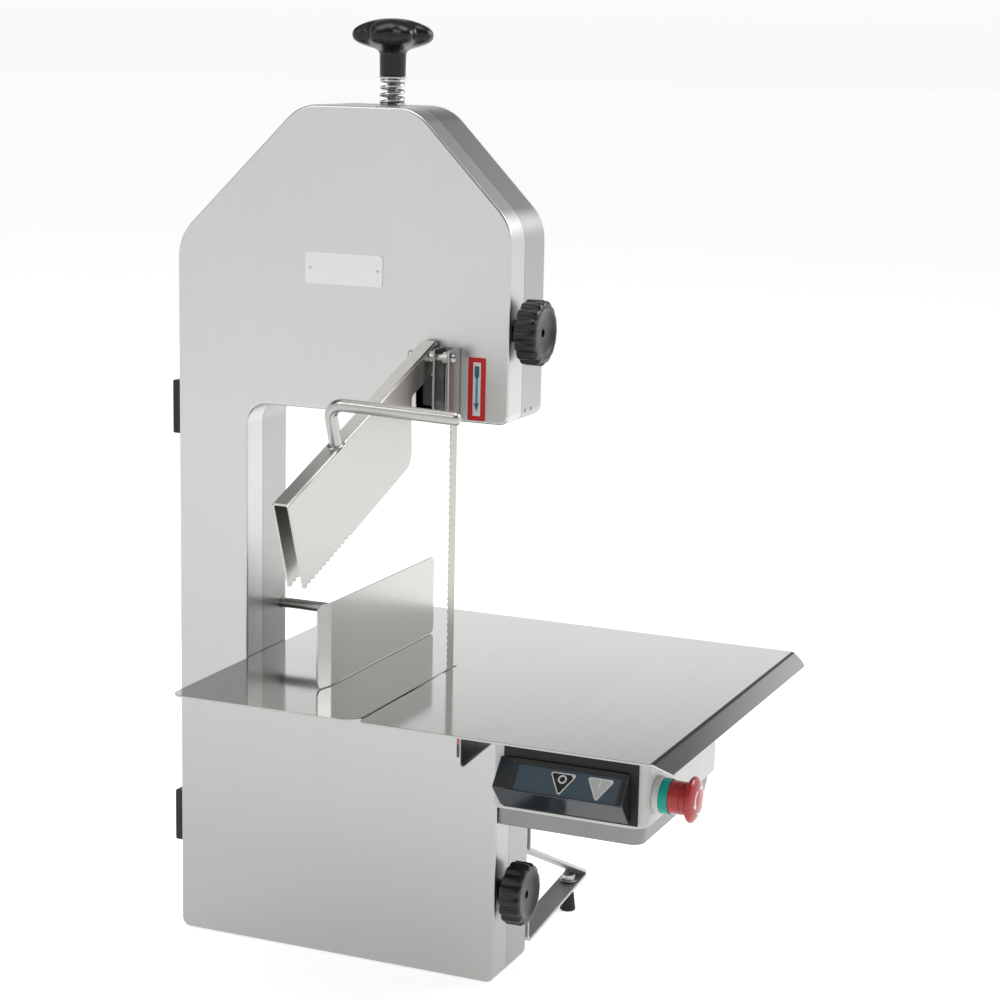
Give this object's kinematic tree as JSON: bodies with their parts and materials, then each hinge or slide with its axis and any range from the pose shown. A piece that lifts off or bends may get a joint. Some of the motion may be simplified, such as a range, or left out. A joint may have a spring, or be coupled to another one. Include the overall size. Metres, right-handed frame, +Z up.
{
  "type": "bone_saw",
  "caption": "bench bone saw, stainless C-shaped body with hinged door, vertical band blade, steel table, thickness fence, swing-down toothed pusher and side switch box",
  "frame": {"origin": "centre of the machine's footprint at the level of the feet's undersides", "axes": "+Z up, from the feet to the tension knob; +X from the column towards the switch box; -Y the side where the operator stands, with the door and the pusher"},
  "size_m": [0.583, 0.5612, 0.901],
  "materials": {
    "brushed_stainless": "satin stainless sheet with upright brushing",
    "polished_stainless": "polished stainless sheet and bar, reflective",
    "machined_steel": "machined and ground steel",
    "cast_aluminium": "cast aluminium with turned rims",
    "black_plastic": "moulded black nylon",
    "black_rubber": "matt black rubber",
    "light_grey_plastic": "light grey moulded plastic, fine texture",
    "smoked_panel": "dark blue-grey glossy panel",
    "grey_key": "light grey key cap",
    "teal_plastic": "teal collar",
    "red_plastic": "red mushroom head",
    "motor_paint": "grey motor enamel"
  },
  "bodies": {
    "frame": {"rear_housing": "brushed_stainless", "spine_plate": "machined_steel", "lower_bearing_housing": "machined_steel", "motor_flange": "motor_paint", "motor_body": "motor_paint", "motor_fan_cover": "motor_paint", "motor_terminal_box": "black_plastic", "carriage_rail_left": "machined_steel", "carriage_rail_right": "machined_steel", "tension_spring": "machined_steel", "spring_washer": "machined_steel", "upper_blade_guide": "black_plastic", "lower_blade_guide": "black_plastic", "upper_hinge_frame_leaf": "black_plastic", "lower_hinge_frame_leaf": "black_plastic", "upper_hinge_pin": "machined_steel", "lower_hinge_pin": "machined_steel", "upper_keeper": "machined_steel", "lower_keeper": "machined_steel", "table_top": "polished_stainless", "table_bearer_left": "brushed_stainless", "table_bearer_right": "brushed_stainless", "table_hook": "black_plastic", "fence_guide": "black_plastic", "switch_box_shell": "light_grey_plastic", "switch_box_base": "light_grey_plastic", "panel_gasket": "black_rubber", "control_panel": "smoked_panel", "estop_collar": "teal_plastic", "cable_gland": "black_plastic", "foot_bracket_left": "brushed_stainless", "foot_bracket_right": "brushed_stainless", "rear_foot_left": "black_rubber", "rear_foot_right": "black_rubber", "front_foot_left": "black_rubber", "front_foot_right": "black_rubber", "saw_blade": "machined_steel"},
    "door": {"door": "brushed_stainless", "upper_hinge_door_leaf": "black_plastic", "lower_hinge_door_leaf": "black_plastic", "pusher_bracket": "brushed_stainless", "pusher_pin": "polished_stainless"},
    "upper_knob": {"upper_door_knob": "black_plastic"},
    "lower_knob": {"lower_door_knob": "black_plastic"},
    "pusher": {"pusher_channel": "brushed_stainless", "pusher_handle": "polished_stainless"},
    "fence": {"fence_plate": "polished_stainless", "fence_rod": "polished_stainless"},
    "tensioner": {"tension_knob": "black_plastic", "tension_screw": "machined_steel"},
    "carriage": {"wheel_carriage": "machined_steel", "upper_axle": "machined_steel"},
    "upper_wheel": {"upper_wheel": "cast_aluminium", "upper_bearing": "machined_steel"},
    "lower_wheel": {"lower_wheel": "cast_aluminium", "drive_shaft": "machined_steel"},
    "stop_key": {"stop_button": "black_plastic"},
    "start_key": {"start_button": "grey_key"},
    "estop_stem": {"estop_stem": "machined_steel"},
    "estop_head": {"estop_button": "red_plastic"}
  },
  "joints": [
    {"name": "door_swing", "type": "hinge", "parent": "frame", "child": "door", "pos_m": [-0.2723, 0.03759, 0.529], "axis": [0, 0, -1], "range_deg": [0, 100]},
    {"name": "upper_knob_turn", "type": "hinge", "parent": "door", "child": "upper_knob", "pos_m": [0.0785, 0.02234, 0.625], "axis": [1, 0, 0], "range_deg": [0, 360]},
    {"name": "lower_knob_turn", "type": "hinge", "parent": "door", "child": "lower_knob", "pos_m": [0.0755, 0.02234, 0.091], "axis": [1, 0, 0], "range_deg": [0, 360]},
    {"name": "pusher_tilt", "type": "hinge", "parent": "door", "child": "pusher", "pos_m": [0.00105, -0.01196, 0.6005], "axis": [1, 0, 0], "range_deg": [-70, 70]},
    {"name": "fence_slide", "type": "slide", "parent": "frame", "child": "fence", "axis": [1, 0, 0], "range_m": [-0.03, 0.06]},
    {"name": "tension_turn", "type": "hinge", "parent": "frame", "child": "tensioner", "pos_m": [-0.0758, 0.07704, 0.848], "axis": [0, 0, 1], "range_deg": [0, 1440]},
    {"name": "carriage_slide", "type": "slide", "parent": "frame", "child": "carriage", "axis": [0, 0, 1], "range_m": [-0.008, 0]},
    {"name": "lower_wheel_spin", "type": "hinge", "parent": "frame", "child": "lower_wheel", "pos_m": [-0.0995, 0.05804, 0.108], "axis": [0, 1, 0], "continuous": true},
    {"name": "upper_wheel_spin", "type": "hinge", "parent": "carriage", "child": "upper_wheel", "pos_m": [-0.0995, 0.05804, 0.71211], "axis": [0, 1, 0], "continuous": true},
    {"name": "stop_press", "type": "slide", "parent": "frame", "child": "stop_key", "axis": [0, 0.7519, -0.6593], "range_m": [0, 0.0015], "stiffness_N_per_m": 800},
    {"name": "start_press", "type": "slide", "parent": "frame", "child": "start_key", "axis": [0, 0.7519, -0.6593], "range_m": [0, 0.0015], "stiffness_N_per_m": 800},
    {"name": "estop_press", "type": "slide", "parent": "frame", "child": "estop_stem", "axis": [-1, 0, 0], "range_m": [0, 0.004]},
    {"name": "estop_twist", "type": "hinge", "parent": "estop_stem", "child": "estop_head", "pos_m": [0.2265, 0.02704, 0.2075], "axis": [1, 0, 0], "range_deg": [-35, 0], "stiffness_Nm_per_rad": 0.05}
  ],
  "couplings": [
    {"joint": "tension_turn", "follows": "carriage_slide", "rad_per_m": -3141.6},
    {"joint": "upper_wheel_spin", "follows": "lower_wheel_spin", "ratio": 1}
  ]
}
